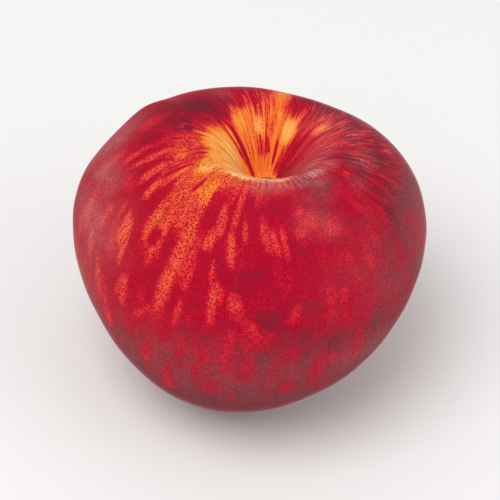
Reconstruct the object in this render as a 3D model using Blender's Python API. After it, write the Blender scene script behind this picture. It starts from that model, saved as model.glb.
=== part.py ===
"""A ripe red peach, as picked, with its stem pulled out.

The fruit is one closed solid. A sphere's grid of points is shaped by a formula: a body that is
fullest above its middle, broad swellings and flats, the seam that runs from the stem end to the
blossom end, the stem hollow with the dry scar on its floor, and a small flat spot to rest on.
Metres, +Z up. The origin is on the ground, under the middle of the fruit's box.
"""

from math import atan2, cos, exp, hypot, pi, radians, sin

import bmesh
import bpy
from mathutils import Vector

MM = 0.001

# The body, about the middle of its axis. The three shares bend a plain spheroid into a peach.
GIRTH_RADIUS = 37.3 * MM
HALF_HEIGHT = 32.85 * MM
FULL_SHOULDER = 0.074
NARROW_ENDS = -0.154
RAISED_CROWN = 0.15
AXIS_LEAN = Vector((3.25, 2.25)) * MM

# Each swelling: degrees round the fruit, degrees down from the stem end, spread in degrees, rise.
SWELLINGS = {
    "full cheek beside the seam": (158, 72, 40, 3.5 * MM),
    "shoulder bump by the seam": (140, 54, 9.5, 1.5 * MM),
    "bulge under that bump": (176, 62, 17, 2.25 * MM),
    "flat back shoulder": (65, 45, 34, -2.65 * MM),
    "flat right side": (-15, 105, 34, -3.0 * MM),
    "flat left side": (-165, 105, 30, -1.45 * MM),
    "full front, low": (-110, 138, 30, 1.3 * MM),
    "flat front right, low": (-50, 130, 26, -0.4 * MM),
    "full back, low": (90, 128, 38, 2.0 * MM),
    "full blossom end": (0, 180, 40, 3.0 * MM),
}

# The seam runs down the back left, with a slight bow where it climbs out of the hollow.
SEAM_AZIMUTH = radians(136)
SEAM_BOW = radians(10)
SEAM_BOW_PLACE = radians(26)
SEAM_BOW_REACH = radians(12)
SEAM_DEPTH = 0.85 * MM
SEAM_WIDTH = 3.0 * MM
SEAM_WIDTH_IN_HOLLOW = 0.9 * MM

# The stem hollow is a bell turned upside down. Its floor is the flat scar of the stem, with a rim.
HOLLOW_DEPTH = 22.3 * MM
HOLLOW_WIDTH = 10.0 * MM
HOLLOW_ROUNDNESS = 1.5
SCAR_RADIUS = 2.8 * MM
SCAR_RIM_RADIUS = 2.0 * MM
SCAR_RIM_WIDTH = 0.8 * MM
SCAR_RIM_HEIGHT = 0.5 * MM

# The flat spot is where the fruit rests.
REST_SPOT_DEPTH = 1.0 * MM

COLUMNS = 96
RINGS = 56
RING_CLOSENESS_AT_STEM = 0.35

SKIN_COLOR = (0.42, 0.02, 0.035, 1.0)
SKIN_ROUGHNESS = 0.62


def direction(around, down):
    """The unit vector at an angle round the fruit and an angle down from the stem end."""
    return Vector((sin(down) * cos(around), sin(down) * sin(around), cos(down)))


def swelling_rise(around, down):
    """How far all the swellings together lift the skin there."""
    here = direction(around, down)
    rise = 0.0
    for azimuth, polar, spread, height in SWELLINGS.values():
        away = here.angle(direction(radians(azimuth), radians(polar)), 0.0)
        rise += height * exp(-((away / radians(spread)) ** 2))
    return rise


def seam_azimuth(down):
    """Where the seam is round the fruit, at an angle down from the stem end."""
    return SEAM_AZIMUTH + SEAM_BOW * exp(-(((down - SEAM_BOW_PLACE) / SEAM_BOW_REACH) ** 2))


def seam_depth(around, down, radius):
    """The groove's depth: broad and soft on the cheek, a fine crease in the hollow, none on the scar."""
    turned = (around - seam_azimuth(down) + pi) % (2 * pi) - pi
    in_hollow = exp(-((radius / HOLLOW_WIDTH) ** 2))
    width = SEAM_WIDTH + (SEAM_WIDTH_IN_HOLLOW - SEAM_WIDTH) * in_hollow
    across = exp(-((radius * turned / width) ** 2))
    off_scar = 1 - exp(-((radius / SCAR_RADIUS) ** 4))
    return SEAM_DEPTH * across * off_scar * sin(down) ** (1 - in_hollow)


def hollow_depth(radius):
    """How far the stem hollow goes down there, with the rim of the scar standing on its floor."""
    bell = exp(-((max(radius, SCAR_RADIUS) / HOLLOW_WIDTH) ** HOLLOW_ROUNDNESS))
    rim = exp(-(((radius - SCAR_RIM_RADIUS) / SCAR_RIM_WIDTH) ** 2))
    return HOLLOW_DEPTH * bell - SCAR_RIM_HEIGHT * rim


def skin_point(around, down):
    """The skin's point, from the middle of the fruit's axis."""
    level = cos(down)
    radius = GIRTH_RADIUS * sin(down) * (1 + FULL_SHOULDER * level + NARROW_ENDS * level**2)
    height = HALF_HEIGHT * level * (1 + RAISED_CROWN * level)
    rise = swelling_rise(around, down)
    radius += rise * sin(down)
    height += rise * level
    groove = seam_depth(around, down, radius)
    radius -= groove * sin(down)
    height -= groove * level
    if level > 0:
        height -= hollow_depth(radius)
    lean = AXIS_LEAN * height / HALF_HEIGHT
    return Vector((radius * cos(around) + lean.x, radius * sin(around) + lean.y, height))


def shape_skin(mesh):
    """Moves a unit sphere's points onto the skin, with rings closest at the stem."""
    for vert in mesh.verts:
        even = atan2(hypot(vert.co.x, vert.co.y), vert.co.z)
        down = even * (RING_CLOSENESS_AT_STEM + (1 - RING_CLOSENESS_AT_STEM) * even / pi)
        around = atan2(vert.co.y, vert.co.x) + seam_azimuth(down)
        vert.co = skin_point(around, down)


def cut_rest_spot(mesh):
    """Slices off the lowest part, so that the fruit rests on a flat face."""
    lowest = min(vert.co.z for vert in mesh.verts)
    everything = mesh.verts[:] + mesh.edges[:] + mesh.faces[:]
    bmesh.ops.bisect_plane(
        mesh,
        geom=everything,
        plane_co=(0, 0, lowest + REST_SPOT_DEPTH),
        plane_no=(0, 0, -1),
        clear_outer=True,
    )
    rim = [edge for edge in mesh.edges if edge.is_boundary]
    bmesh.ops.contextual_create(mesh, geom=rim)


def stand_on_origin(mesh):
    """Moves the fruit so that the origin is on the ground under the middle of its box."""
    places = [vert.co for vert in mesh.verts]
    low = Vector([min(place[axis] for place in places) for axis in range(3)])
    high = Vector([max(place[axis] for place in places) for axis in range(3)])
    foot = Vector(((low.x + high.x) / 2, (low.y + high.y) / 2, low.z))
    bmesh.ops.translate(mesh, vec=-foot, verts=mesh.verts)


def skin_material():
    material = bpy.data.materials.new("peach_skin")
    material.use_nodes = True
    shader = material.node_tree.nodes["Principled BSDF"]
    shader.inputs["Base Color"].default_value = SKIN_COLOR
    shader.inputs["Roughness"].default_value = SKIN_ROUGHNESS
    shader.inputs["Metallic"].default_value = 0.0
    return material


def make_peach():
    shape = bmesh.new()
    bmesh.ops.create_uvsphere(shape, u_segments=COLUMNS, v_segments=RINGS, radius=1.0)
    shape_skin(shape)
    cut_rest_spot(shape)
    stand_on_origin(shape)
    bmesh.ops.recalc_face_normals(shape, faces=shape.faces)
    mesh = bpy.data.meshes.new("peach")
    shape.to_mesh(mesh)
    shape.free()
    mesh.shade_smooth()
    mesh.materials.append(skin_material())
    peach = bpy.data.objects.new("peach", mesh)
    bpy.context.scene.collection.objects.link(peach)
    return peach


for old in list(bpy.data.objects):
    bpy.data.objects.remove(old)
make_peach()
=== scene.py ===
# %% [markdown]
# # A ripe red peach
#
# This lesson dresses one peach, as picked, with its stem pulled out. The fruit's shape comes as a
# plain solid from the frame. Everything that the eye adds to it is made here: the velvety crimson
# skin with its orange flecks and fine dots, the straw-yellow stem hollow, and the dry scar in it.
#
# A peach has no parts to bolt together, so most of the lesson is about paint. The paint is worked
# out on the skin's own points, with two measures that suit a fruit: how far round its stem a point
# lies, and how far down from the stem.

# %% Load the frame
from math import cos, radians, sin, tan

import bpy
import numpy as np
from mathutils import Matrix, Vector


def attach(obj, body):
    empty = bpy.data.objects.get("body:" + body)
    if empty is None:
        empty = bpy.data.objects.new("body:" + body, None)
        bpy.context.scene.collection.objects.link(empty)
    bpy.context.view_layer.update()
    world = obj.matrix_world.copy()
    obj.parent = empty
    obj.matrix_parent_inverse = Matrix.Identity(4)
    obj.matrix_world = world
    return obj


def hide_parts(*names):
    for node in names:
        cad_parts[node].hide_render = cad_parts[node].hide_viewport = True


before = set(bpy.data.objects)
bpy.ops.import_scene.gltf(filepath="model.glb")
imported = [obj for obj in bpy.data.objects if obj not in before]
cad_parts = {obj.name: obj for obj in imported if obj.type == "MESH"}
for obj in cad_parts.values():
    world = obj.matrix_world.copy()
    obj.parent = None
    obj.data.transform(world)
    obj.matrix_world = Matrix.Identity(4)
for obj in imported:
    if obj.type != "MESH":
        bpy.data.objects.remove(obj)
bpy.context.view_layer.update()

MM = 0.001

# %% [markdown]
# ## The camera
#
# The photograph looks down on the fruit's front shoulder, from a long way off, so that near and far
# edges look alike in size. A long lens does the same. The camera is aimed at a point close to the
# middle of the fruit's core, and its angle above the table sets how much of the stem hollow is seen.

# %% The camera at the photograph's angle
BODY_MIDDLE = Vector((1.61, -0.31, 30.38)) * MM
CAMERA_AIM = BODY_MIDDLE + Vector((-1.4, 0.0, 1.0)) * MM
CAMERA_HEIGHT_ANGLE = radians(42)
CAMERA_DISTANCE = 480 * MM
CAMERA_HALF_VIEW = radians(6.35)
SENSOR_WIDTH = 36.0
NEAREST_SEEN = 10 * MM


def make_camera():
    camera_data = bpy.data.cameras.new("photo_camera")
    camera_data.sensor_width = SENSOR_WIDTH
    camera_data.lens = SENSOR_WIDTH / 2 / tan(CAMERA_HALF_VIEW)
    camera_data.clip_start = NEAREST_SEEN
    camera = bpy.data.objects.new("photo_camera", camera_data)
    bpy.context.scene.collection.objects.link(camera)
    back = Vector((0.0, -cos(CAMERA_HEIGHT_ANGLE), sin(CAMERA_HEIGHT_ANGLE)))
    camera.location = CAMERA_AIM + back * CAMERA_DISTANCE
    camera.rotation_euler = (-back).to_track_quat("-Z", "Y").to_euler()
    bpy.context.scene.camera = camera
    return camera


camera = make_camera()
print("The lens is", round(camera.data.lens), "mm, at", tuple(round(c, 3) for c in camera.location))

# %% [markdown]
# ## Helpers for materials
#
# A material is a small machine of nodes. Two helpers keep the cells below short: one adds a node and
# fills its inputs with values or with other nodes' outputs, and one turns a colour that is given as
# a screen shows it, from 0 to 255, into the linear light that the renderer works with.

# %% Two helpers for materials
def add_node(tree, kind, inputs=None, **settings):
    """Adds a node, and fills its inputs with plain values or with links from other sockets."""
    made = tree.nodes.new(kind)
    for setting, value in settings.items():
        setattr(made, setting, value)
    for socket, value in (inputs or {}).items():
        if isinstance(value, bpy.types.NodeSocket):
            tree.links.new(value, made.inputs[socket])
        else:
            made.inputs[socket].default_value = value
    return made


def screen_color(red, green, blue):
    """A colour as a screen shows it, 0 to 255, in linear values, by the usual sRGB curve."""
    shares = [c / 255 for c in (red, green, blue)]
    linear = [s / 12.92 if s <= 0.04045 else ((s + 0.055) / 1.055) ** 2.4 for s in shares]
    return (*linear, 1.0)


print("Mid grey on screen is", round(screen_color(128, 128, 128)[0], 3), "in linear light")

# %% [markdown]
# ## The table and the light
#
# The fruit was photographed on plain white under big soft lamps. A pale floor, a pale sky and one
# broad lamp above the camera's left give the same even light, with a faint shadow where it rests.
# A weaker lamp on the right keeps that side from going dull.

# %% The pale floor
FLOOR_HALF_WIDTH = 3.0
FLOOR_COLOR = screen_color(244, 243, 242)
FLOOR_ROUGHNESS = 0.9
FLOOR_SHINE = 0.1


def make_floor():
    bpy.ops.object.select_all(action="DESELECT")
    bpy.ops.mesh.primitive_plane_add(size=2 * FLOOR_HALF_WIDTH, location=(0, 0, 0))
    floor = bpy.context.object
    floor.name = "pale_floor"
    paint = bpy.data.materials.new("pale_floor")
    paint.use_nodes = True
    shader = paint.node_tree.nodes["Principled BSDF"]
    shader.inputs["Base Color"].default_value = FLOOR_COLOR
    shader.inputs["Roughness"].default_value = FLOOR_ROUGHNESS
    shader.inputs["Specular IOR Level"].default_value = FLOOR_SHINE
    floor.data.materials.append(paint)


make_floor()
print("The floor is", 2 * FLOOR_HALF_WIDTH, "m wide")

# %% Soft studio light
SKY_COLOR = (1.0, 1.0, 1.0, 1.0)
SKY_STRENGTH = 0.62
LAMPS = {
    "broad lamp above": {"place": (-0.35, -0.45, 1.1), "width": 0.9, "watts": 7.5},
    "fill from the right": {"place": (0.9, -0.5, 0.6), "width": 0.8, "watts": 2.0},
}


def make_light():
    scene = bpy.context.scene
    scene.view_settings.view_transform = "Standard"
    scene.world = bpy.data.worlds.new("pale_sky")
    scene.world.use_nodes = True
    sky = scene.world.node_tree.nodes["Background"]
    sky.inputs["Color"].default_value = SKY_COLOR
    sky.inputs["Strength"].default_value = SKY_STRENGTH
    for name, lamp in LAMPS.items():
        data = bpy.data.lights.new(name, "AREA")
        data.shape = "DISK"
        data.size = lamp["width"]
        data.energy = lamp["watts"]
        light = bpy.data.objects.new(name, data)
        scene.collection.objects.link(light)
        light.location = lamp["place"]
        light.rotation_euler = (CAMERA_AIM - light.location).to_track_quat("-Z", "Y").to_euler()


make_light()
print("Lamps:", ", ".join(LAMPS))

# %% [markdown]
# ## The skin
#
# The skin is the fruit's whole outside. The solid from the frame has the true shape, but its flat
# facets are 2 mm wide. A copy of it is welded, its triangles are joined in pairs to make a clean
# grid of four-sided faces, and two rounds of subdivision give a smooth surface with enough points
# to carry the paint. The solid itself is never touched.

# %% Copy, weld and smooth the solid
WELD_DISTANCE = 0.004 * MM
PAIR_BEND_LIMIT = radians(50)
PAIR_SKEW_LIMIT = radians(60)
SMOOTHING_ROUNDS = 2


def only_select(piece):
    bpy.ops.object.select_all(action="DESELECT")
    piece.select_set(True)
    bpy.context.view_layer.objects.active = piece


def make_skin():
    skin = bpy.data.objects.new("peach_skin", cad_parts["peach"].data.copy())
    bpy.context.scene.collection.objects.link(skin)
    skin.data.materials.clear()
    only_select(skin)
    bpy.ops.object.mode_set(mode="EDIT")
    bpy.ops.mesh.select_all(action="SELECT")
    bpy.ops.mesh.remove_doubles(threshold=WELD_DISTANCE)
    bpy.ops.mesh.tris_convert_to_quads(
        face_threshold=PAIR_BEND_LIMIT,
        shape_threshold=PAIR_SKEW_LIMIT,
    )
    bpy.ops.object.mode_set(mode="OBJECT")
    smoothing = skin.modifiers.new("smoothing", "SUBSURF")
    smoothing.levels = SMOOTHING_ROUNDS
    smoothing.render_levels = SMOOTHING_ROUNDS
    bpy.ops.object.modifier_apply(modifier=smoothing.name)
    bpy.ops.object.shade_smooth()
    return skin


skin = make_skin()
print("The skin has", len(skin.data.vertices), "points and", len(skin.data.polygons), "faces")

# %% [markdown]
# ## Two measures for a fruit
#
# A peach grows round its core, so its marks run along lines from the stem end to the blossom end,
# like the lines of longitude on a globe. Each point of the skin gets its angle round the stem and
# its angle down from the stem, seen from the fruit's middle. The core leans a little, so the lean
# is taken off first. Both are in degrees, because marks are placed by them further on. The
# fruit's front is at -90 degrees round the stem, its right at 0, its back at 90 and its left at 180.

# %% Measure every point of the skin
CORE_HALF_HEIGHT = 32.85
AXIS_LEAN = Vector((3.25, 2.25)) / CORE_HALF_HEIGHT


def skin_places(piece):
    """The points of a piece, in millimetres from the middle of the fruit."""
    places = np.empty(len(piece.data.vertices) * 3)
    piece.data.vertices.foreach_get("co", places)
    return places.reshape(-1, 3) / MM - np.array(BODY_MIDDLE) / MM


def fruit_measures(places):
    """Degrees round the stem, degrees down from the stem, and millimetres out from the core."""
    out_x = places[:, 0] - AXIS_LEAN.x * places[:, 2]
    out_y = places[:, 1] - AXIS_LEAN.y * places[:, 2]
    away = np.hypot(out_x, out_y)
    around = np.degrees(np.arctan2(out_y, out_x))
    down = np.degrees(np.arctan2(away, places[:, 2]))
    return around, down, away


places = skin_places(skin)
around, down, away = fruit_measures(places)
print("The skin reaches", round(float(away.max()), 1), "mm out from the core")

# %% [markdown]
# ## Fine relief
#
# Up close the skin isn't even. Where it was drawn in tight round the stem it has shallow wrinkles
# that run down into the hollow, and the seam is a fine crease there. Each point is moved along its
# own normal by a tenth of a millimetre or so, which is felt in the light more than seen.
#
# Many effects here fade in from one place to another. Each such span below gives first the place
# where the effect is absent and then the place where it is full.

# %% A smooth fade, and degrees from a line down the fruit
def soft_step(low, high, value):
    """0 at low and before it, 1 at high and past it, and a smooth climb between them."""
    share = np.clip((value - low) / (high - low), 0.0, 1.0)
    return share * share * (3 - 2 * share)


def turned(from_angle):
    """Degrees from an angle round the stem to each point of the skin, from -180 to 180."""
    return (around - from_angle + 180) % 360 - 180


print("Half way up the climb, the fade is", float(soft_step(0.0, 2.0, 1.0)))

# %% Wrinkles in the stem hollow and the crease of the seam
WRINKLES = {17: 0.050, 29: 0.035, 43: 0.022}
WRINKLE_SWAY = 2.1
SWAYS_ROUND = 3
WRINKLE_SLANT = 0.05
WRINKLE_SPAN = (27.0, 15.0)
WRINKLES_OFF_SCAR = (2.0, 5.0)
CREASE_PLACE = 141.0
CREASE_BOW = 6.0
CREASE_BOW_SPAN = (10.0, 22.0)
CREASE_HALF_WIDTH = 2.2
CREASE_DEPTH = 0.16
CREASE_SPAN = (34.0, 20.0)
CREASE_OFF_SCAR = (2.5, 4.0)
UNEVENNESS = 0.06
UNEVEN_WAVES = ((0.31, 0.17, 0.23), (-0.19, 0.33, 0.27))
UNEVEN_SHIFT = 1.3
UNEVEN_FROM_RIM = (20.0, 34.0)
UNEVEN_ABOVE_TIP = (140.0, 120.0)


def wrinkle_rise():
    angle = np.radians(around)
    rise = np.zeros(len(down))
    for count, height in WRINKLES.items():
        sway = WRINKLE_SWAY * np.sin(SWAYS_ROUND * angle + count)
        rise += height * np.sin(count * angle + sway + WRINKLE_SLANT * down)
    return rise * (soft_step(*WRINKLE_SPAN, down) * soft_step(*WRINKLES_OFF_SCAR, away))


def crease_depth():
    middle = CREASE_PLACE + CREASE_BOW * soft_step(*CREASE_BOW_SPAN, down)
    across = turned(middle) / CREASE_HALF_WIDTH
    depth = CREASE_DEPTH * np.exp(-(across**2))
    return depth * soft_step(*CREASE_SPAN, down) * soft_step(*CREASE_OFF_SCAR, away)


def uneven_rise():
    first, second = UNEVEN_WAVES
    waves = np.sin(places @ first) * np.sin(places @ second + UNEVEN_SHIFT)
    rise = UNEVENNESS * waves * soft_step(*UNEVEN_FROM_RIM, down)
    return rise * soft_step(*UNEVEN_ABOVE_TIP, down)


def press_relief(piece, rise):
    normals = np.empty(len(piece.data.vertices) * 3)
    piece.data.vertices.foreach_get("normal", normals)
    moved = places + normals.reshape(-1, 3) * rise[:, None]
    in_frame = (moved + np.array(BODY_MIDDLE) / MM) * MM
    piece.data.vertices.foreach_set("co", in_frame.ravel())
    piece.data.update()


relief = wrinkle_rise() - crease_depth() + uneven_rise()
press_relief(skin, relief)
print("The relief runs from", round(float(relief.min()), 3), "mm to", round(float(relief.max()), 3))

# %% [markdown]
# ## Painting marks one by one
#
# Each fleck, streak and blush on the fruit is one short brush stroke that runs down from the stem
# end. A stroke has a place round the stem, a top and a bottom, and a width in millimetres. Its ends
# and sides are soft, because the material's fine noise roughens them later. A stroke may lean, so
# that its bottom lies further round than its top.

# %% The brush
WIDTH_SHARE = 0.62
END_FIRMNESS = 3
SIDE_FIRMNESS = 2.5
EDGE_FIRMNESS = 1.6
NEARLY_NOTHING = 1e-12


def stroke(place, top, bottom, width, lean=0.0):
    """How much of a stroke lies on each point of the skin: 1 in its middle and 0 outside."""
    along = (2 * down - top - bottom) / (bottom - top)
    middle = place + lean * along / 2
    side = np.radians(turned(middle)) * away / (WIDTH_SHARE * width)
    reach = np.abs(along) ** END_FIRMNESS + np.abs(side) ** SIDE_FIRMNESS
    return np.exp(-(reach**EDGE_FIRMNESS))


def patch(place, height, round_reach, down_reach):
    """A broad soft spot: degrees round and down, and its reach each way in degrees."""
    return np.exp(-((turned(place) / round_reach) ** 2) - ((down - height) / down_reach) ** 2)


def strokes(marks, base=0.0):
    """Lays strokes over each other, the strongest showing. Each mark ends with its strength."""
    laid = base + np.zeros(len(down))
    for *shape, strength in marks:
        laid = np.maximum(laid, strength * stroke(*shape))
    return laid


def patches(marks, base=0.0, flatness=1.0):
    """The same for soft patches. A flatness above 1 gives them an even middle and a firmer edge."""
    laid = base + np.zeros(len(down))
    for *shape, strength in marks:
        farness = -np.log(np.minimum(patch(*shape) + NEARLY_NOTHING, 1.0))
        laid = np.maximum(laid, strength * np.exp(-(farness**flatness)))
    return laid


print("A stroke 3 mm wide covers", int((stroke(-126, 55, 75, 3.0) > 0.5).sum()), "points")

# %% [markdown]
# ## Where the ground colour shows
#
# Under its blush a peach is yellow. The blush is thick on the side that saw the sun and thin in the
# stem hollow, and it opens in flecks that run down from the hollow's rim. The first layer of paint,
# called open, is 1 where the ground colour shows and 0 where the blush has closed over it.
#
# Each list of strokes is read as place, top, bottom, width, lean, strength, and each list of
# patches as place, height, reach round, reach down, strength. Thin zones are patches where the
# blush nearly opens, so that its noise alone breaks it into crumbs. A few of them on the right
# cheek thin it to a lighter red as a painted highlight.

# %% Open flecks on the front and the left cheek
front_flecks = [
    (-135, 24, 57, 9.4, 0, 0.75),
    (-137, 34, 62, 6.6, 1, 0.68),
    (-131, 23, 39, 9.0, 0, 0.86),
    (-141, 26, 36, 8.0, 0, 0.88),
    (-143.4, 40, 60, 3.4, 3, 0.72),
    (-136.4, 41, 64, 2.3, -1, 0.78),
    (-124.8, 42, 63, 3.6, 2, 0.73),
    (-126.4, 48, 77, 2.9, 0.5, 0.76),
    (-127, 27, 40.5, 1.9, 1, 1.00),
    (-132.5, 31, 39.5, 1.3, 0, 0.95),
    (-138.2, 30, 37.5, 1.1, 3, 0.88),
    (-151.5, 31, 39.5, 1.2, -2, 1.00),
    (-152.2, 33, 43.2, 1.3, -1, 0.92),
    (-147, 33.5, 41, 1.3, 0, 0.88),
    (-113.9, 35, 47, 1.9, 4, 0.92),
    (-115.8, 43.8, 51.8, 2.2, -1, 0.94),
    (-107.8, 26, 44, 1.2, 1, 0.86),
    (-113, 26.5, 37, 1.4, 1, 0.76),
    (-119, 24.5, 31, 3.0, 0, 0.72),
    (-105.7, 44, 55.6, 1.45, 3.5, 0.92),
    (-101.6, 40.3, 46.5, 0.85, 2, 0.86),
    (-111, 52.3, 60.5, 0.9, 1.5, 0.72),
    (-121.8, 43, 64, 2.8, 1, 0.66),
    (-119, 55, 66, 1.4, 0, 0.70),
    (-119, 67, 76.5, 1.25, 0, 0.68),
    (-131.3, 73.5, 80, 1.7, -4, 0.60),
    (-108, 60, 73.5, 1.7, 1.5, 0.74),
    (-107, 60, 67, 2.7, 0, 0.64),
    (-99.8, 61.5, 71.5, 2.5, 3.5, 0.66),
    (-97.4, 66, 72, 2.0, 2, 0.50),
    (-93.5, 70, 77, 2.4, 4, 0.30),
    (-99.7, 73.5, 79, 1.3, 0, 0.54),
    (-100.3, 75, 89, 2.4, 0, 0.24),
    (-66, 62, 68, 2.4, 0, 0.20),
    (-92, 38, 49.5, 1.6, 4, 0.74),
    (-87.5, 42, 50.5, 1.3, 4, 0.68),
    (-83.5, 41, 51.5, 1.2, 3, 0.68),
    (-98, 26, 36, 1.4, 0, 0.60),
    (-93, 27, 36, 1.2, 0, 0.45),
    (-102, 25, 32, 1.4, 0, 0.62),
    (-79.3, 65.3, 71.5, 2.0, -2, 0.54),
    (-56.3, 53.5, 63.5, 1.9, 3, 0.34),
    (-48.5, 58, 63.5, 1.4, 1, 0.30),
    (-61.5, 63.5, 69, 1.8, 0, 0.18),
    (-119.8, 88, 105, 2.0, 2.5, 0.22),
    (-127.5, 82, 96, 2.0, 0, 0.20),
]
left_flecks = [
    (-170, 24, 38, 9.0, 0, 0.66),
    (-181, 23.5, 33, 6.0, 0, 0.60),
    (-162, 30, 36, 1.8, 0, 1.00),
    (-177.3, 40, 51, 1.5, 3, 0.70),
    (-171, 28, 49.5, 1.5, -2, 0.82),
    (-162.2, 33, 48.3, 1.8, -1, 0.94),
    (-158, 31, 41.5, 1.2, -2, 0.86),
    (-155.4, 39.5, 49.4, 1.65, 1.5, 0.92),
    (-181.3, 49, 56.5, 1.8, 2, 0.50),
    (-172, 59, 72, 1.7, 5.5, 0.58),
    (-172.7, 63.5, 77.5, 2.0, 1, 0.46),
    (-163.6, 57, 67, 1.3, 1.5, 0.64),
    (-158.9, 53, 60.5, 1.05, 2, 0.64),
    (-152.6, 53.8, 65.5, 2.7, 3, 0.90),
    (-148.6, 59.5, 70.4, 1.4, 2.5, 0.90),
    (-154.5, 59, 71, 3.2, 3, 0.44),
    (-143.6, 69.4, 78, 2.0, -1.5, 0.88),
    (-141.2, 69, 80.2, 1.7, 2.5, 0.92),
    (-143.5, 62, 69.5, 2.2, 0, 0.40),
    (-163.6, 68.5, 77, 2.2, 3.5, 0.64),
    (-154.8, 72.5, 84.7, 2.2, 6, 0.70),
    (-148.5, 80, 86, 1.7, 1, 0.40),
    (-151, 75, 83, 2.2, 2, 0.52),
    (-146.3, 84.5, 92, 2.5, 2, 0.44),
]
CLOSED_BLUSH = -0.32
thin_zones_and_highlight = [
    (-172, 34, 24, 12, 0.50),
    (-173, 40, 18, 10, 0.68),
    (-197, 42, 13, 7, 0.72),
    (-180, 35, 13, 5, 0.84),
    (167, 26.5, 12, 3, 0.68),
    (148, 23, 8, 3, 0.40),
    (-134, 42, 16, 22, 0.40),
    (-92, 28.5, 28, 5, 0.68),
    (-157.5, 34, 8, 5, 1.08),
    (-166, 50, 7, 5, 0.80),
    (-133, 72, 5, 5, 0.60),
    (-62, 62, 20, 18, 0.32),
    (-100, 84, 60, 10, 0.30),
    (15, 26, 50, 12, 0.68),
    (10, 42, 44, 12, 0.48),
    (100, 27, 24, 9, 0.74),
    (42, 24, 8, 6, 0.86),
    (-164, 66, 26, 18, 0.44),
    # From here to -76 round: a painted highlight, the blush thinned to a lighter red.
    (-72, 42, 15, 8, 0.62),
    (-70, 41, 8, 5, 0.93),
    (-74, 37.5, 5, 3, 0.88),
    (-62, 44.5, 8, 5, 0.88),
    (-76, 44, 5, 3, 0.86),
    (-35, 32, 2.5, 2.5, 0.70),
    (-30, 23, 22, 3, 0.50),
]
opening = CLOSED_BLUSH + patches(thin_zones_and_highlight)
opening = strokes(front_flecks + left_flecks, opening)
print(len(front_flecks) + len(left_flecks), "flecks cover", int((opening > 0.5).sum()), "points")

# %% [markdown]
# Inside the stem hollow the skin hardly blushes. Ground colour fills it up to an edge that wanders,
# high on the left and at the front and missing on the right. The edge is drawn as a line: at each
# angle round the stem, how far down from the stem the ground colour reaches.

# %% Open skin in the stem hollow
GROUND_EDGE = {
    -222: 21.0,
    -205: 23.0,
    -190: 25.0,
    -178: 26.0,
    -165: 25.0,
    -154: 27.0,
    -148: 32.0,
    -143: 33.5,
    -138: 31.5,
    -134: 29.0,
    -124: 27.5,
    -112: 26.0,
    -100: 25.5,
    -80: 25.0,
    -66: 23.0,
    -55: 14.0,
    -48: 6.0,
    38: 6.0,
    48: 18.0,
    58: 24.0,
    75: 26.0,
    105: 27.0,
    120: 26.0,
    130: 25.0,
    138: 23.0,
}


def below_line(line, softness):
    """1 where the skin lies nearer to the stem than a line drawn round it, and 0 outside it."""
    reach = np.interp(around, list(line), list(line.values()), period=360)
    return soft_step(reach + softness, reach - softness, down)


def sector(first, last, softness=6.0):
    """A slice of the fruit, from one angle round the stem to another, the way round they rise."""
    middle = (first + last) / 2
    half = (last - first) / 2
    return soft_step(half + softness, half - softness, np.abs(turned(middle)))


GROUND_EDGE_SOFTNESS = 3.6
GROUND_OPENNESS = 1.05
FAR_WALL_BLUSH = 0.25
hollow = GROUND_OPENNESS * below_line(GROUND_EDGE, GROUND_EDGE_SOFTNESS)
far_wall = FAR_WALL_BLUSH * sector(20, 138) * soft_step(17, 24, down)
opening = np.maximum(opening, hollow - far_wall)
back_flecks = [
    (82.5, 18, 54, 3.6, -6, 1.15),
    (81.5, 24, 43, 4.2, -4, 1.25),
    (94, 18, 33, 2.8, 2, 0.66),
    (110, 20, 31, 1.2, 0, 0.62),
    (55, 18, 28, 2.4, 0, 0.58),
    (66, 20, 27, 1.2, 0, 0.60),
    (28, 20.5, 26.5, 2.6, -6, 0.72),
    (42, 20, 29, 1.8, 0, 0.50),
    (12, 22, 33, 1.4, 6, 0.42),
]
opening = strokes(back_flecks, opening)
print("Ground colour shows on", int((opening > 0.5).sum()), "points")

# %% [markdown]
# The photograph doesn't show the back. A real peach is marked all round, so a few fainter flecks
# are laid there by chance. The chance is seeded, so the same flecks come out each time.

# %% Faint flecks on the hidden back
CHANCE_SEED = 8
FAR_FLECK_PLACES = np.arange(-16, 148, 5.5)
chance = np.random.default_rng(CHANCE_SEED)


def draw(least, more):
    """The next number drawn by chance: a least value, and up to so much more."""
    return least + more * chance.random()


far_flecks = []
for place in FAR_FLECK_PLACES:
    top = draw(40, 46)
    length = draw(5, 9)
    width = draw(0.8, 1.6)
    strength = draw(0.30, 0.40)
    shifted = place + draw(0, 4)
    lean = draw(0, 3)
    far_flecks.append((shifted, top, top + length, width, lean, strength))
hidden_side = sector(36, 140, 16.0) * soft_step(44, 50, down)
far_opening = strokes(far_flecks, CLOSED_BLUSH) * hidden_side + opening * (1 - hidden_side)
opening = np.maximum(opening, far_opening)
print(len(far_flecks), "faint flecks lie on the back")

# %% [markdown]
# The openings aren't clean shapes. Islands of blush stand in them, and in the stem hollow narrow
# crimson flames lick down its walls. They are strokes too, and close what was opened.

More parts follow.
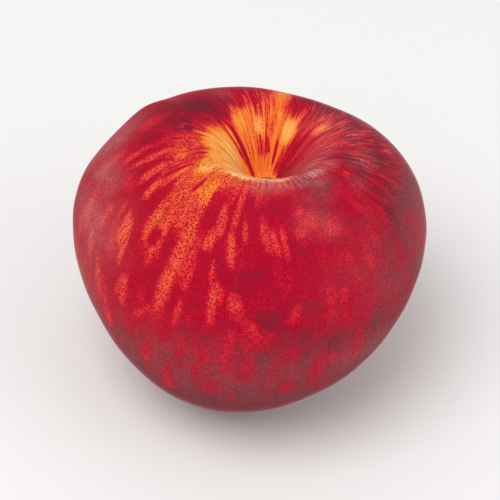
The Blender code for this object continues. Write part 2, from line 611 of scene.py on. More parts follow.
# %% Crimson laid back over the openings
islands = [
    (-120.6, 31, 48.5, 2.5, 1.5, 1.0),
    (-148.5, 39.5, 55, 1.5, 0, 1.0),
    (-152.5, 49, 55, 3.0, 0, 0.85),
    (-139, 52, 58, 2.0, 0, 1.0),
    (-131.6, 49, 64, 2.3, 2, 1.0),
    (-136, 31, 38, 0.6, -2, 0.9),
    (-110.4, 32, 48, 0.75, 0.5, 0.8),
    (-140, 33, 47, 2.2, 0, 0.2),
    (-128, 39, 43, 1.4, 0, 0.3),
    (-174.6, 34.5, 48.5, 1.6, 0, 1.0),
    (-173, 33, 38, 0.4, -3, 0.7),
    (-177.5, 29.5, 35, 0.5, -3, 0.6),
    (-184, 35.5, 47, 3.1, -2, 0.95),
    (-166.7, 36.8, 49, 1.45, 0, 1.0),
    (-164.2, 34.5, 40, 0.5, -4, 0.85),
    (-158.4, 40.2, 51.5, 1.1, 0, 1.0),
    (-154.2, 31, 42, 0.55, -5, 1.0),
    (-157, 32.5, 38.5, 0.35, -3, 0.7),
    (-159.2, 24.8, 28.2, 0.6, 0, 0.9),
    (-149, 24.5, 26.5, 0.6, 0, 0.6),
    (-170, 27.8, 30.2, 2.6, 0, 0.3),
    (-187, 27, 30.5, 1.4, 0, 0.95),
    (-186.5, 31.8, 35.8, 1.4, 0, 0.95),
    (104, 22, 33, 1.1, 0, 0.95),
    (118, 23.5, 29, 2.6, 0, 0.8),
    (68, 23.5, 36, 2.2, 3, 1.0),
    (59, 24, 34, 1.8, 0, 0.6),
    (48, 21, 33, 2.9, 0, 0.95),
]
flames = [
    (138, 8.6, 23.5, 0.85, 10, 1.0),
    (149, 20, 28, 1.0, 2, 0.5),
    (45, 9.5, 19.5, 2.6, 4, 1.0),
    (149.5, 13, 22, 1.0, 3, 0.75),
    (87, 23, 30, 0.6, 0, 0.5),
    (56, 10, 17, 0.9, 6, 0.7),
    (74, 12.4, 17.8, 0.6, 2, 0.9),
    (89, 14.4, 17.8, 0.6, 4, 0.9),
    (92.5, 13.8, 18.4, 0.5, 2, 0.8),
    (97, 13.4, 17, 0.6, 2, 0.5),
    (102, 13.4, 18.2, 0.5, 2, 0.8),
    (108, 13.6, 18.4, 0.4, 0, 0.6),
    (93, 18, 24, 0.5, 2, 0.5),
    (98, 21, 31, 0.5, 0, 0.6),
    (87, 17, 21, 0.7, 0, 0.4),
    (120, 12, 17, 0.4, 0, 0.5),
    (128, 12, 19, 0.4, 3, 0.5),
]
closed = strokes(islands + flames)
opening = opening * (1 - closed)
print(len(islands), "islands and", len(flames), "flames of crimson")

# %% [markdown]
# ## The ground colour's warmth
#
# The ground is straw-yellow deep in the hollow, amber on its walls, orange at its rim, and scarlet
# under the cheeks, where even the thin blush has tinted it. The second layer, called gold, is 1 for
# straw and 0 for scarlet. Golden spots have soft edges. Golden pools have an even middle, as the
# bright skin on the hollow's walls has.

# %% Gold
golden_spots = [
    (-140, 46, 30, 34, 0.33),
    (-127, 56, 9, 24, 0.20),
    (-112, 27, 9, 3, 0.62),
    (-130, 34, 10, 10, 0.60),
    (-166, 29, 22, 6, 0.36),
    (-144, 29.5, 6, 3.4, 0.84),
    (-136, 25.5, 10, 2.2, 0.80),
    (-126.5, 32, 4.5, 7.0, 0.60),
    (-132.5, 35.5, 2.5, 3.5, 0.62),
    (-138, 34, 2.5, 3.0, 0.48),
    (-151.5, 35, 2.5, 4.0, 0.60),
    (-147, 37.5, 2.5, 2.5, 0.46),
    (-162, 32.5, 4.5, 2.5, 0.44),
    (-154, 36.5, 3.5, 2.5, 0.40),
    (82.5, 27, 7, 9, 0.50),
    (28, 23.5, 7, 2.6, 0.60),
    (42, 24, 8, 5, 0.34),
]
golden_pools = [
    (172, 17.0, 20, 7.0, 0.88),
    (200, 17.0, 22, 7.0, 0.91),
    (194, 12.5, 24, 3.5, 0.96),
    (222, 20.5, 16, 4.5, 0.88),
    (-118, 24, 22, 2.3, 0.97),
    (150, 7, 25, 4.0, 0.80),
    (-86, 23.5, 18, 1.6, 0.96),
    (64, 19.5, 13, 4.6, 0.84),
    (103, 19.2, 12, 4.0, 0.79),
    (125, 20.5, 12, 4.2, 0.68),
    (81, 34, 5.5, 9, 0.68),
]
POOL_FLATNESS = 1.5
NEAR_WALL_GOLD = 0.74
FAR_WALL_GOLD = 0.54
FLOOR_GOLD = 0.60
gold = np.maximum(patches(golden_spots), patches(golden_pools, flatness=POOL_FLATNESS))
walls = below_line(GROUND_EDGE, 4.0)
gold = np.maximum(gold, NEAR_WALL_GOLD * walls * sector(138, 310))
gold = np.maximum(gold, FAR_WALL_GOLD * walls * sector(40, 138))
hollow_floor = soft_step(14.5, 10.5, down) * sector(40, 150)
gold = gold * (1 - hollow_floor) + FLOOR_GOLD * hollow_floor
gold = np.clip(gold, 0.0, 1.0)
print("Gold runs from", round(float(gold.min()), 2), "to", round(float(gold.max()), 2))

# %% [markdown]
# ## Dusk with painted shade, and bloom with painted sheen
#
# The blush isn't one red. It is vivid crimson on the front, and clouded with dusky maroon on the
# right, on the far shoulder and towards the blossom end: that is the third layer, dusk. Low on the
# right and towards the blossom end it is painted shade as well as dusky blush. Where dusk is about
# one half, the material's noise breaks it into clouds. Between the clouds lie bright patches,
# vivid mottles that push the dusk aside and thin the blush a little.

# %% Dusk
dusky_patches = [
    # The broad patches low on the front and right are painted shade as well as dusky blush.
    (-66, 76, 46, 20, 0.46),
    (-26, 62, 28, 24, 0.62),
    (0, 62, 26, 30, 0.74),
    (152, 37, 20, 10, 0.74),
    (5, 13, 30, 5, 0.60),
    (146, 31, 17, 8, 1.15),
    (127, 29, 6, 5, 0.90),
    (0, 25, 9, 3, 0.62),
    (-17, 31, 6, 4, 0.70),
    (168, 32.3, 6, 3, 0.86),
    (177, 42, 6, 3, 0.66),
    (-203, 35, 8, 9, 0.70),
    (-187, 30, 5, 3, 1.00),
    (-194, 31, 7, 3, 0.90),
    (-62, 30, 14, 3, 0.70),
    (-60, 33, 15, 5, 0.80),
    (-18, 35, 13, 7, 0.85),
    (2, 32, 8, 6, 0.72),
    (-8, 28.5, 12, 5, 0.74),
    (-11, 39, 12, 5, 1.25),
    (0, 44, 13, 7, 0.84),
    (18, 29, 8, 5, 0.65),
    (30, 38, 34, 12, 0.70),
    (-27, 51, 9, 5, 0.80),
    (-76, 75, 8, 8, 0.52),
    (-88, 72, 6, 6, 0.86),
    (3, 28.5, 7, 3, 0.88),
    (-82, 95, 14, 8, 0.46),
    (-63, 96, 8, 6, 0.60),
    (-53, 88, 8, 8, 0.62),
    (-126, 81, 4, 4, 0.50),
    (-120, 87, 5, 4, 0.56),
    (-113, 78, 5, 6, 0.50),
    (-135, 95, 9, 6, 0.55),
    (-110, 101, 8, 7, 0.50),
    (-62, 62, 4, 5, 0.42),
    (-41, 59, 3, 5, 0.60),
    (-85.5, 89.5, 3.5, 4, 0.72),
    (-109, 79, 5, 5, 0.60),
    (-101.5, 72.5, 3.5, 3.5, 0.45),
    (-48, 76.5, 5, 5, 0.80),
    (-65, 84, 3, 4, 0.80),
]
bright_patches = [
    (-94, 86, 4, 8, 0.90),
    (-79.5, 95.5, 3, 3.5, 0.90),
    (-71, 90, 2.5, 7, 0.95),
    (-57.5, 84, 3, 7, 0.80),
    (-61, 70, 4, 8, 0.85),
    (-56, 75, 4, 6, 0.80),
    (-82, 81, 4, 4, 0.80),
    (-96, 74, 3, 5, 0.70),
    (-86, 77, 5, 4, 0.65),
    (-119, 97, 2.5, 9, 0.95),
    (-115, 86, 2.5, 6, 0.90),
    (-121.5, 80, 2.5, 4, 0.90),
    (-109.5, 91, 2, 5, 0.80),
    (-131, 79, 2.5, 5, 0.80),
    (-127.5, 89, 2.5, 7, 0.80),
    (-104.5, 95, 3, 4, 0.80),
    (-97, 101, 2.5, 6, 0.60),
    (-68, 67, 4, 5, 0.80),
    (-72, 61, 6, 5, 0.80),
    (-100, 82, 3.5, 8, 0.80),
    (-55, 49, 5, 4, 0.90),
    (-49, 55, 4, 5, 0.80),
    (-65, 55, 6, 4, 0.95),
    (-71, 62, 5, 4, 0.90),
    (-57.5, 66.5, 3.5, 4, 0.85),
    (-83, 59.5, 8, 6, 0.95),
    (-43, 53.5, 3, 5, 0.75),
    (-55, 77.5, 3, 5, 0.80),
    (-91.5, 77, 4, 5, 0.80),
    (-150, 84, 6, 6, 0.70),
    (-160, 88, 8, 8, 0.50),
    (-74, 96, 2, 3, 0.60),
    (-85, 90, 3, 3, 0.50),
    (-134, 84, 6, 5, 0.70),
    (-144, 88, 5, 5, 0.60),
    (-138, 76, 9, 7, 0.80),
    (-107, 84, 3, 4, 0.60),
    (-51, 68, 3, 6, 0.60),
    (-37, 39, 5, 3, 0.90),
    (7, 33.5, 3, 3, 0.90),
    (-41, 42, 5, 8, 0.60),
    (-74, 52, 12, 8, 0.40),
    (163, 44, 7, 4, 0.70),
    (153, 26, 8, 3, 0.60),
]
print(len(dusky_patches), "dusky patches and", len(bright_patches), "bright ones")

# %% [markdown]
# Towards the blossom end the dusk closes in all round; there it is painted shade as well as dusky
# blush, and a darker belt low on the front is painted shade alone. On the front its edge follows
# the photograph. On the back it would be a level line, so two waves that run round the fruit let
# it climb and fall, and more mottles are laid there by the same seeded chance.

# %% Dusk and painted shade towards the blossom end, and mottles on the hidden back
THIN_DUSK = 0.10
# The next two are dusky blush and painted shade together.
RIGHT_DUSK_AND_SHADE = 0.74
LOW_DUSK_AND_SHADE = 0.62
# The strength of the painted shade along the bottom on the front.
PAINTED_TIP_SHADE = 0.40
PHOTO_SIDE = (-160, -20)
EDGE_WAVES = {3: (8, 40), 5: (6, 130)}
FAR_MOTTLE_PLACES = np.arange(12, 160, 6.0)
MOTTLE_LENGTH = 1.6
MOTTLE_FLATNESS = 1.4
MOTTLE_CLEARING = 0.9
MOTTLE_OPENING = 0.20
LOW_MOTTLE_CLOSING = 0.10
MOSTLY_CLOSED = 0.4

waves_round = np.zeros(len(around))
for count, (height, shift) in EDGE_WAVES.items():
    waves_round += height * np.sin(np.radians(count * around + shift))
lowness = down + waves_round * (1 - sector(*PHOTO_SIDE, 30.0))
dusk_and_shade = patches(dusky_patches, THIN_DUSK)
# Low on the right the dusk is painted shade as well as dusky blush.
dusk_and_shade = np.maximum(dusk_and_shade, RIGHT_DUSK_AND_SHADE * soft_step(62, 82, down) * sector(-104, 60, 20.0))
# Round the blossom end the dusk is painted shade as well as dusky blush.
dusk_and_shade = np.maximum(dusk_and_shade, LOW_DUSK_AND_SHADE * soft_step(68, 94, lowness))
# A painted shade: a darker belt along the bottom on the front.
dusk_and_shade = dusk_and_shade + PAINTED_TIP_SHADE * soft_step(92, 110, down) * sector(*PHOTO_SIDE, 50.0)

far_mottles = []
for place in FAR_MOTTLE_PLACES:
    height = draw(62, 56)
    reach = draw(2.5, 2.5)
    shifted = place + draw(0, 4)
    strength = draw(0.5, 0.4)
    far_mottles.append((shifted, height, reach, MOTTLE_LENGTH * reach, strength))
brightness = patches(bright_patches + far_mottles, flatness=MOTTLE_FLATNESS)
dusk_and_shade = np.clip(dusk_and_shade * (1 - MOTTLE_CLEARING * brightness), 0, 1)
mottle_opening = MOTTLE_OPENING - LOW_MOTTLE_CLOSING * soft_step(80, 90, down)
opening = opening + mottle_opening * brightness * (opening < MOSTLY_CLOSED)
print("Dusk covers", int((dusk_and_shade > 0.5).sum()), "points")

# %% [markdown]
# Over the blush lies the bloom, a thin felt of pale hairs, which greys the skin where it is thick:
# the fourth layer. It is rubbed off on the front, and thin on the bright mottles. The same layer
# paints the pale sheen of the fuzz seen edge-on, along the hollow's front lip and the fruit's sides
# and bottom, and a soft highlight on the right cheek.

# %% Bloom and painted sheen
bloom_and_sheen_patches = [
    # Patches on the hollow's front lip, 20 to 30 down, paint the sheen of fuzz seen edge-on.
    (-66, 27.5, 9, 2.4, 0.30),
    (-58, 29, 12, 3.5, 0.20),
    (-92, 23.2, 36, 1.8, 0.60),
    (-50, 24.6, 12, 2.4, 0.80),
    (-74, 26.7, 9, 2.6, 0.42),
    # This patch and the one at -69 round paint a soft highlight on the right cheek.
    (-62, 45, 9, 5, 0.10),
    (-32, 20, 16, 3.0, 0.40),
    (-68, 24.5, 8, 2.4, 0.45),
    (-69, 41, 11, 5, 0.12),
    (-36, 25, 9, 3, 0.30),
    (-62, 33, 15, 5, 0.13),
    (-14, 35, 16, 7, 0.12),
    (-35, 37, 8, 5, 0.07),
    (165, 53, 14, 6, 0.25),
    (124, 33, 10, 6, 0.07),
    (-20, 16, 40, 6, 0.26),
    (2, 22, 26, 4, 0.19),
    (22, 28, 30, 9, 0.15),
    (-92, 26.5, 22, 3.6, 0.30),
    # From here on: bloom along the sides and bottom, with the painted sheen of fuzz seen edge-on.
    (-178, 57, 13, 6, 0.32),
    (-192, 59, 13, 9, 0.27),
    (-168, 66, 18, 12, 0.26),
    (-168, 88, 22, 14, 0.25),
    (-5, 70, 30, 22, 0.19),
    (6, 48, 20, 8, 0.09),
    (-40, 74, 30, 26, 0.10),
    (26, 38, 26, 10, 0.09),
    (-56, 90, 22, 10, 0.18),
]
THIN_BLOOM = 0.012
LOW_BLOOM = 0.105
TIP_RUBBING = 0.06
FRONT_RUBBING = 0.85
MOTTLE_RUBBING = 0.65
low_bloom = LOW_BLOOM - TIP_RUBBING * soft_step(96, 118, lowness)
# The bloom layer also carries the painted sheen and the painted highlight.
bloom_and_sheen = patches(bloom_and_sheen_patches, THIN_BLOOM)
bloom_and_sheen = np.maximum(bloom_and_sheen, low_bloom * soft_step(66, 92, lowness))
bloom_and_sheen = bloom_and_sheen * (1 - FRONT_RUBBING * patch(-112, 52, 40, 18))
bloom_and_sheen = bloom_and_sheen * (1 - MOTTLE_RUBBING * brightness * soft_step(60, 70, down))
print("Bloom is thickest at", round(float(bloom_and_sheen.max()), 2))

# %% [markdown]
# The last two layers say what grain the blush has. Where combed is 1, it is drawn out in fine
# streaks, as it is round the stem and on the far shoulder. Where dotted is 1, the openings are
# covered with fine dark dots. Each starts from a simple rule, and is then lessened, place by place.

# %% Combing
COMBED_EVERYWHERE = 0.05
SHOULDER_COMBING = 0.95
HOLLOW_COMBING = 0.80
LEFT_COMBING = 0.30
TONGUE_SMOOTHING = 0.80
combed = COMBED_EVERYWHERE + SHOULDER_COMBING * sector(-30, 134, 24.0) * soft_step(60, 38, down)
combed = np.maximum(combed, HOLLOW_COMBING * soft_step(31, 26, down))
smoother_hollow = {
    "the walls, but for the right": 0.45 * soft_step(25, 20, down) * sector(50, 300),
    "the left wall once more": 0.45 * soft_step(28, 23, down) * sector(150, 250),
}
for share in smoother_hollow.values():
    combed = combed * (1 - share)
combed = np.maximum(combed, LEFT_COMBING * patch(-172, 34, 26, 12))
golden_tongue = patch(81, 31, 6, 7)
combed = combed * (1 - TONGUE_SMOOTHING * golden_tongue)
print("Combed strongly:", int((combed > 0.5).sum()), "points")

# %% Dots
dotted = soft_step(22.0, 30.0, down)
fewer_dots = {
    "the combed shoulder": 0.85 * sector(-50, 138, 12.0) * soft_step(60, 44, down),
    "low on the fruit": 0.55 * soft_step(74, 86, down),
    "the right cheek": 0.55 * sector(-78, 20, 10.0) * soft_step(52, 60, down),
    # The painted highlight on the right cheek gets fewer dots.
    "the painted highlight by the hollow": 0.55 * patch(-72, 42, 14, 8),
    "the golden rim on the front": 0.42 * patch(-131, 34, 13, 9),
    "the pale rim on the left": 0.38 * patch(-149, 32, 15, 5),
}
for share in fewer_dots.values():
    dotted = dotted * (1 - share)
print("Dotted strongly:", int((dotted > 0.5).sum()), "points")

# %% [markdown]
# ## Keeping the paint on the skin
#
# The six layers are stored on the skin as named attributes, which its material reads. One more,
# flow, gives the noise textures a space to live in: it wraps round the stem with no seam and is
# pressed together along the fruit, so that any noise in it comes out as streaks from stem to tip.
# Below the hollow's rim the streaks bend aside, one way on the right and the other on the far left,
# so the flow is twisted there.

# %% Store the layers
FLOW_STRETCH = 0.3
TWIST_TOP = 26.0
TWIST_BOTTOM = 62.0
RIGHT_TWIST = 0.75
FAR_LEFT_TWIST = -0.80


def store_layer(piece, name, values):
    layer = piece.data.attributes.new(name, "FLOAT", "POINT")
    layer.data.foreach_set("value", values.astype(np.float32))


def store_flow(piece):
    twist = RIGHT_TWIST * sector(-30, 90, 40.0) + FAR_LEFT_TWIST * sector(140, 186, 20.0)
    below_rim = np.clip(down, TWIST_TOP, TWIST_BOTTOM) - TWIST_TOP
    angle = np.radians(around - twist * below_rim)
    flow = np.stack([np.cos(angle), np.sin(angle), np.radians(down) * FLOW_STRETCH], axis=1)
    layer = piece.data.attributes.new("flow", "FLOAT_VECTOR", "POINT")
    layer.data.foreach_set("vector", flow.astype(np.float32).ravel())


layers = {
    "open": opening,
    "gold": gold,
    "dusk_and_shade": dusk_and_shade,
    "bloom_and_sheen": bloom_and_sheen,
    "combed": combed,
    "dotted": dotted,
}
for name, values in layers.items():
    store_layer(skin, name, values)
store_flow(skin)
print("Layers:", [layer.name for layer in skin.data.attributes if not layer.name.startswith(".")])

# %% [markdown]
# ## The skin's material
#
# The orange flecks are covered with tiny dark dots, two or three to the millimetre. So the blush is
# treated as a film of varying thickness, which is thickest at each dot's middle and thins out
# where a fleck is open. Through a thin film the ground shows, through a thicker one the red
# brightens, and a thick one is deep crimson. Fine noise roughens every edge.
#
# A noise texture rarely leaves the middle third of 0 to 1, so that third is stretched to a plus or
# minus before it is used.

# %% Nodes that several colours share
NOISE_RANGE = (0.32, 0.68)


def layer_value(tree, name):
    return add_node(tree, "ShaderNodeAttribute", attribute_name=name).outputs["Fac"]


def noise_value(tree, space, scale, detail=3.0, roughness=0.6):
    inputs = {"Vector": space, "Scale": scale, "Detail": detail, "Roughness": roughness}
    return add_node(tree, "ShaderNodeTexNoise", inputs).outputs["Fac"]


def calculate(tree, operation, first, second, clamp=False):
    inputs = {0: first, 1: second}
    return add_node(tree, "ShaderNodeMath", inputs, operation=operation, use_clamp=clamp).outputs[0]


def add_share(tree, base, value, amount):
    """A value with a share of another added to it, or taken off where the amount is negative."""
    return calculate(tree, "ADD", base, calculate(tree, "MULTIPLY", value, amount))


def remap(tree, value, low, high, to_low=0.0, to_high=1.0, smooth=True):
    inputs = {"Value": value, "From Min": low, "From Max": high}
    inputs.update({"To Min": to_low, "To Max": to_high})
    kind = "SMOOTHSTEP" if smooth else "LINEAR"
    return add_node(tree, "ShaderNodeMapRange", inputs, interpolation_type=kind).outputs["Result"]


def spread(tree, texture, amount):
    """A noise texture's value as a plus or minus of up to an amount."""
    return remap(tree, texture, *NOISE_RANGE, -amount, amount, smooth=False)


def mix_colors(tree, share, first, second):
    """Sockets 0, 6 and 7 are the share and the two colours, and output 2 is the colour."""
    inputs = {0: share, 6: first, 7: second}
    return add_node(tree, "ShaderNodeMix", inputs, data_type="RGBA").outputs[2]


def scale_color(tree, color, amount):
    inputs = {0: color, "Scale": amount}
    return add_node(tree, "ShaderNodeVectorMath", inputs, operation="SCALE").outputs[0]


def color_ramp(tree, value, stops):
    made = add_node(tree, "ShaderNodeValToRGB", {"Fac": value})
    ramp = made.color_ramp
    while len(ramp.elements) < len(stops):
        ramp.elements.new(0.5)
    for element, (place, color) in zip(ramp.elements, sorted(stops.items())):
        element.position = place
        element.color = color
    return made.outputs["Color"]


print("Noise is stretched from", NOISE_RANGE)

# %% [markdown]
# Fine grain roughens the skin and the dry scar alike, so it is one node group that both use. It is
# given a space, the number of grains to a metre and an amount, and gives back a plus or minus.

# %% A shared node group for fine grain
GRAIN_DETAIL = 2.0


def make_grain_group():
    group = bpy.data.node_groups.new("fine_grain", "ShaderNodeTree")
    group.interface.new_socket("Space", in_out="INPUT", socket_type="NodeSocketVector")
    group.interface.new_socket("Grains per metre", in_out="INPUT", socket_type="NodeSocketFloat")
    group.interface.new_socket("Amount", in_out="INPUT", socket_type="NodeSocketFloat")
    group.interface.new_socket("Grain", in_out="OUTPUT", socket_type="NodeSocketFloat")
    given = group.nodes.new("NodeGroupInput").outputs
    texture = noise_value(group, given["Space"], given["Grains per metre"], GRAIN_DETAIL)
    grain = calculate(group, "MULTIPLY", spread(group, texture, 1.0), given["Amount"])
    result = group.nodes.new("NodeGroupOutput")
    group.links.new(grain, result.inputs["Grain"])
    return group


grain_group = make_grain_group()


def fine_grain(tree, space, per_metre, amount):
    inputs = {"Space": space, "Grains per metre": per_metre, "Amount": amount}
    return add_node(tree, "ShaderNodeGroup", inputs, node_tree=grain_group).outputs["Grain"]


print("The group gives", [item.name for item in grain_group.interface.items_tree])

# %% [markdown]
# Four textures roughen the skin, from broad to fine: coarse drifts along the fruit, clouds, fine
# grain, and streaks, which are long and thin and count only where the skin is combed.

# %% The skin's textures
COARSE_SCALE = 9.0
STREAK_SCALE = 34.0
STREAK_SHAPE = (1.0, 1.0, 0.6)
STREAK_ROUGHNESS = 0.72
CLOUDS_PER_METRE = 170.0
CLOUD_DETAIL = 5.0
CLOUD_ROUGHNESS = 0.62
GRAINS_PER_METRE = 2800.0


def make_textures(tree):
    space = add_node(tree, "ShaderNodeTexCoord").outputs["Object"]
    flow = add_node(tree, "ShaderNodeAttribute", attribute_name="flow").outputs["Vector"]
    inputs = {0: flow, 1: STREAK_SHAPE}
    drawn_out = add_node(tree, "ShaderNodeVectorMath", inputs, operation="MULTIPLY").outputs[0]
    streaks = noise_value(tree, drawn_out, STREAK_SCALE, roughness=STREAK_ROUGHNESS)
    combed = layer_value(tree, "combed")
    return {
        "space": space,
        "coarse": noise_value(tree, flow, COARSE_SCALE),
        "clouds": noise_value(tree, space, CLOUDS_PER_METRE, CLOUD_DETAIL, CLOUD_ROUGHNESS),
        "grain": fine_grain(tree, space, GRAINS_PER_METRE, 1.0),
        "combing": calculate(tree, "MULTIPLY", combed, spread(tree, streaks, 1.0)),
    }


print("A grain of the skin is about", round(1000 / GRAINS_PER_METRE, 2), "mm wide")

# %% How dusky and shaded, and how thin the blush is
DUSK_CLOUDS = 0.36
DUSK_DRIFT = 0.22
DUSK_COMBING = -0.42
DUSK_SPAN = (0.05, 1.10)
CRUMBS_PER_METRE = 1100.0
CRUMB_AMOUNT = 0.10
THIN_COMBING = 0.50
THIN_GRAIN = 0.12
THIN_DRIFT = 0.18
THIN_CLOUDS = -0.12
THIN_DUSKINESS = -0.20


# The share of dusky blush, painted shade as well low on the right and at the blossom end.
def dusk_and_shade_share(tree, textures):
    dusk_and_shade = layer_value(tree, "dusk_and_shade")
    dusk_and_shade = calculate(tree, "ADD", dusk_and_shade, spread(tree, textures["clouds"], DUSK_CLOUDS))
    dusk_and_shade = calculate(tree, "ADD", dusk_and_shade, spread(tree, textures["coarse"], DUSK_DRIFT))
    dusk_and_shade = add_share(tree, dusk_and_shade, textures["combing"], DUSK_COMBING)
    return remap(tree, dusk_and_shade, *DUSK_SPAN)


def blush_thinness(tree, textures, dusk_and_shade):
    uncombed = calculate(tree, "SUBTRACT", 1.0, layer_value(tree, "combed"))
    crumbs = fine_grain(tree, textures["space"], CRUMBS_PER_METRE, CRUMB_AMOUNT)
    thinness = add_share(tree, layer_value(tree, "open"), crumbs, uncombed)
    thinness = add_share(tree, thinness, textures["combing"], THIN_COMBING)
    thinness = add_share(tree, thinness, textures["grain"], THIN_GRAIN)
    thinness = calculate(tree, "ADD", thinness, spread(tree, textures["coarse"], THIN_DRIFT))
    thinness = calculate(tree, "ADD", thinness, spread(tree, textures["clouds"], THIN_CLOUDS))
    return add_share(tree, thinness, dusk_and_shade, THIN_DUSKINESS)


print("A crumb of the blush is about", round(1000 / CRUMBS_PER_METRE, 1), "mm wide")

# %% [markdown]
# A dot lies in each cell of a Voronoi texture, round the cell's own point. It thickens the film,
# and where the skin round it is bare, it is a dark red of its own.

# %% The dots
DOTS_PER_METRE = 2350.0
DOT_EDGE = (0.16, 0.54)
DOT_DEPTH = 0.84
BARE_SPAN = (0.35, 0.75)


def make_dots(tree, textures, thinness):
    """How much thicker the dots make the film, and how far they show in their own dark red."""
    inputs = {"Vector": textures["space"], "Scale": DOTS_PER_METRE}
    distance = add_node(tree, "ShaderNodeTexVoronoi", inputs).outputs["Distance"]
    dot = remap(tree, distance, *DOT_EDGE, 1.0, 0.0)
    depth = calculate(tree, "MULTIPLY", layer_value(tree, "dotted"), DOT_DEPTH)
    thickness = calculate(tree, "MULTIPLY", dot, depth)
    return thickness, calculate(tree, "MULTIPLY", thickness, remap(tree, thinness, *BARE_SPAN))


print("The dots lie about", round(1000 / DOTS_PER_METRE, 2), "mm apart")

# %% Ground, blush and dots
GROUND_COLORS = {
    0.0: screen_color(218, 50, 54),
    0.3: screen_color(236, 88, 50),
    0.56: screen_color(240, 122, 26),
    0.78: screen_color(252, 168, 74),
    1.0: screen_color(255, 214, 126),
}
VIVID_BLUSH = screen_color(167, 0, 40)
HOLLOW_BLUSH = screen_color(186, 18, 22)
# Dusky blush, also the colour of the painted shade low on the right and at the blossom end.
DUSKY_AND_SHADED_BLUSH = screen_color(114, 26, 43)
THIN_BLUSH = screen_color(204, 20, 44)
DOT_COLOR = screen_color(148, 16, 14)
WARMTH_COMBING = 0.20
WARMTH_DRIFT = 0.08
FILM_SPAN = (0.25, 1.0)
FLUSH_SPAN = (-0.05, 0.45)


def ground_color(tree, textures):
    warmth = calculate(tree, "MULTIPLY", textures["combing"], WARMTH_COMBING)
    warmth = calculate(tree, "ADD", warmth, spread(tree, textures["coarse"], WARMTH_DRIFT))
    warmth = calculate(tree, "ADD", warmth, layer_value(tree, "gold"), clamp=True)
    return color_ramp(tree, warmth, GROUND_COLORS)


def blushed_color(tree, textures, dusk_and_shade, thinness):
    """The ground under its blush. The film hides the ground, and the flush is where it is thick."""
    film = remap(tree, thinness, *FILM_SPAN, 1.0, 0.0)
    flush = remap(tree, thinness, *FLUSH_SPAN, 1.0, 0.0)
    fresh_blush = mix_colors(tree, layer_value(tree, "gold"), VIVID_BLUSH, HOLLOW_BLUSH)
    blush = mix_colors(tree, dusk_and_shade, fresh_blush, DUSKY_AND_SHADED_BLUSH)
    red = mix_colors(tree, flush, THIN_BLUSH, blush)
    return mix_colors(tree, film, ground_color(tree, textures), red)


print("The ground runs through", len(GROUND_COLORS), "colours")

# %% [markdown]
# The bloom and its painted sheen are powdery: grain, clouds and combing each thin them and
# thicken them. A trace of fuzz lies on the bare skin as well. Where four values are given below,
# the range of the first two is turned into the range of the last two.

# %% Bloom and painted sheen
# Pale bloom, also the colour of the painted sheen and the painted highlight.
BLOOM_AND_SHEEN_COLOR = screen_color(208, 152, 148)
POWDER_PER_METRE = 3600.0
POWDER_GRAIN = (-0.8, 0.9, 0.4, 1.6)
POWDER_CLOUDS = (*NOISE_RANGE, 0.6, 1.25)
POWDER_COMBING = (-0.7, 0.7, 0.35, 1.65)
FUZZ_SPAN = (0.2, 0.9)
FUZZ_AMOUNT = 0.04


def bloom_and_sheen_share(tree, textures, thinness):
    powder = remap(tree, fine_grain(tree, textures["space"], POWDER_PER_METRE, 1.0), *POWDER_GRAIN)
    powder_clouds = remap(tree, textures["clouds"], *POWDER_CLOUDS)
    powder = calculate(tree, "MULTIPLY", powder, powder_clouds)
    powder_combing = remap(tree, textures["combing"], *POWDER_COMBING)
    powder = calculate(tree, "MULTIPLY", powder, powder_combing)
    bare = remap(tree, thinness, *FUZZ_SPAN)
    bloom_and_sheen = add_share(tree, layer_value(tree, "bloom_and_sheen"), bare, FUZZ_AMOUNT)
    return calculate(tree, "MULTIPLY", bloom_and_sheen, powder, clamp=True)


print("A speck of bloom is about", round(1000 / POWDER_PER_METRE, 2), "mm wide")

# %% The skin's whole material
SHADE = (-0.8, 0.8, 0.86, 1.12)
SKIN_ROUGHNESS = 0.6
SKIN_SHINE = 0.04
SHEEN_WEIGHT = 0.45
SHEEN_ROUGHNESS = 0.15
SHEEN_COLOR = (1.0, 0.88, 0.82, 1.0)


def make_skin_material():
    material = bpy.data.materials.new("velvet_skin")
    material.use_nodes = True
    tree = material.node_tree
    shader = tree.nodes["Principled BSDF"]
    textures = make_textures(tree)
    dusk_and_shade = dusk_and_shade_share(tree, textures)
    thinness = blush_thinness(tree, textures, dusk_and_shade)
    dot_thickness, dot_share = make_dots(tree, textures, thinness)
    thinness = calculate(tree, "SUBTRACT", thinness, dot_thickness)
    color = blushed_color(tree, textures, dusk_and_shade, thinness)
    color = mix_colors(tree, dot_share, color, DOT_COLOR)
    color = scale_color(tree, color, remap(tree, textures["grain"], *SHADE, smooth=False))
    color = mix_colors(tree, bloom_and_sheen_share(tree, textures, thinness), color, BLOOM_AND_SHEEN_COLOR)
    tree.links.new(color, shader.inputs["Base Color"])
    shader.inputs["Roughness"].default_value = SKIN_ROUGHNESS
    shader.inputs["Specular IOR Level"].default_value = SKIN_SHINE
    shader.inputs["Sheen Weight"].default_value = SHEEN_WEIGHT
    shader.inputs["Sheen Roughness"].default_value = SHEEN_ROUGHNESS
    shader.inputs["Sheen Tint"].default_value = SHEEN_COLOR
    return material


skin.data.materials.append(make_skin_material())
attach(skin, "root")
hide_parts("peach")
print("The skin's material has", len(skin.data.materials[0].node_tree.nodes), "nodes")

# %% [markdown]
# ## The scar of the stem
#
# The stalk broke away when the fruit was picked, and left a dry corky scar on the hollow's floor.
# It starts as a short cylinder, partly sunk into the floor. Its top is inset and pushed down, so
# that a rim stands round a dish, and once more for the pit where the stalk's core was. A little
# seeded chance moves every corner, and a subdivision rounds it all off.

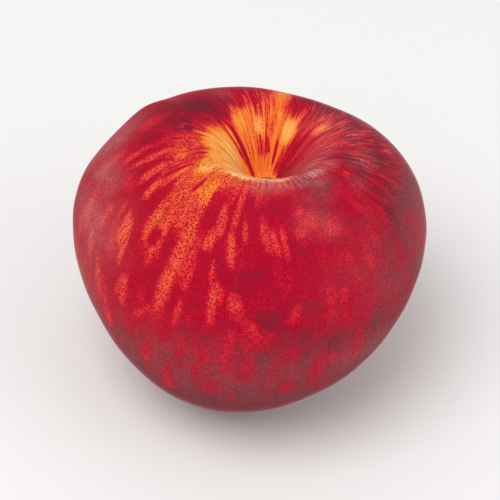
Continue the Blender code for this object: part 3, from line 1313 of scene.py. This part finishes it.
# %% Model the scar
SCAR_RADIUS = 2.55 * MM
SCAR_HEIGHT = 0.30 * MM
SCAR_SUNK = 0.8 * MM
SCAR_CORNERS = 26
SCAR_SKIRT = 0.42 * MM
SCAR_RIM = 0.34 * MM
SCAR_DISH_DEPTH = 0.34 * MM
SCAR_PIT_SLOPE = 0.75 * MM
SCAR_PIT_DEPTH = 0.22 * MM
SCAR_RAGGEDNESS = 0.09 * MM
SCAR_EVEN_SHARE = 0.4
SCAR_SEED = 5
SCAR_SMOOTHING_ROUNDS = 2
STEM_END = 30
FACING_UP = 0.9


def scar_middle():
    """The middle of the hollow's floor, from the skin's own points near its core."""
    floor_points = places[(away < SCAR_RADIUS / MM / 2) & (down < STEM_END)]
    return Vector(floor_points.mean(axis=0)) * MM + BODY_MIDDLE


def make_scar():
    middle = scar_middle()
    depth = SCAR_SUNK + SCAR_HEIGHT - SCAR_SKIRT
    top = middle.z + SCAR_HEIGHT - SCAR_SKIRT
    bpy.ops.object.select_all(action="DESELECT")
    bpy.ops.mesh.primitive_cylinder_add(
        vertices=SCAR_CORNERS,
        radius=SCAR_RADIUS,
        depth=depth,
        location=(middle.x, middle.y, top - depth / 2),
    )
    scar = bpy.context.object
    scar.name = "stem_scar"
    bpy.ops.object.transform_apply(location=True, rotation=True, scale=True)
    bpy.ops.object.mode_set(mode="EDIT")
    bpy.ops.mesh.select_mode(type="FACE")
    bpy.ops.mesh.select_all(action="DESELECT")
    bpy.ops.object.mode_set(mode="OBJECT")
    for face in scar.data.polygons:
        face.select = face.normal.z > FACING_UP
    bpy.ops.object.mode_set(mode="EDIT")
    steps = [
        (SCAR_SKIRT, SCAR_SKIRT),
        (SCAR_RIM, -SCAR_DISH_DEPTH),
        (SCAR_PIT_SLOPE, 0.0),
        (SCAR_RIM, -SCAR_PIT_DEPTH),
    ]
    for inward, upward in steps:
        bpy.ops.mesh.inset(thickness=inward, depth=0.0)
        bpy.ops.transform.translate(value=(0, 0, upward))
    bpy.ops.mesh.select_all(action="SELECT")
    bpy.ops.transform.vertex_random(
        offset=SCAR_RAGGEDNESS,
        uniform=SCAR_EVEN_SHARE,
        normal=0.0,
        seed=SCAR_SEED,
    )
    bpy.ops.object.mode_set(mode="OBJECT")
    rounding = scar.modifiers.new("rounding", "SUBSURF")
    rounding.levels = SCAR_SMOOTHING_ROUNDS
    rounding.render_levels = SCAR_SMOOTHING_ROUNDS
    bpy.ops.object.modifier_apply(modifier=rounding.name)
    bpy.ops.object.shade_smooth()
    return scar


scar = make_scar()
print("The scar stands at", tuple(round(c / MM, 2) for c in scar_middle()), "mm")

# %% The scar's dry brown
CORK_DARK = screen_color(74, 44, 26)
CORK_PALE = screen_color(160, 116, 72)
CORK_PALENESS = 0.4
BLOTCHES_PER_METRE = 700.0
BLOTCH_AMOUNT = 0.35
SPECKS_PER_METRE = 2600.0
SPECK_AMOUNT = 0.2
CORK_ROUGHNESS = 0.9
CORK_SHINE = 0.2


def make_scar_material():
    material = bpy.data.materials.new("dry_scar")
    material.use_nodes = True
    tree = material.node_tree
    shader = tree.nodes["Principled BSDF"]
    space = add_node(tree, "ShaderNodeTexCoord").outputs["Object"]
    blotches = fine_grain(tree, space, BLOTCHES_PER_METRE, BLOTCH_AMOUNT)
    specks = fine_grain(tree, space, SPECKS_PER_METRE, SPECK_AMOUNT)
    mottling = calculate(tree, "ADD", blotches, specks)
    paleness = calculate(tree, "ADD", mottling, CORK_PALENESS, clamp=True)
    tree.links.new(mix_colors(tree, paleness, CORK_DARK, CORK_PALE), shader.inputs["Base Color"])
    shader.inputs["Roughness"].default_value = CORK_ROUGHNESS
    shader.inputs["Specular IOR Level"].default_value = CORK_SHINE
    return material


scar.data.materials.append(make_scar_material())
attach(scar, "root")
print("The scar has", len(scar.data.polygons), "faces")
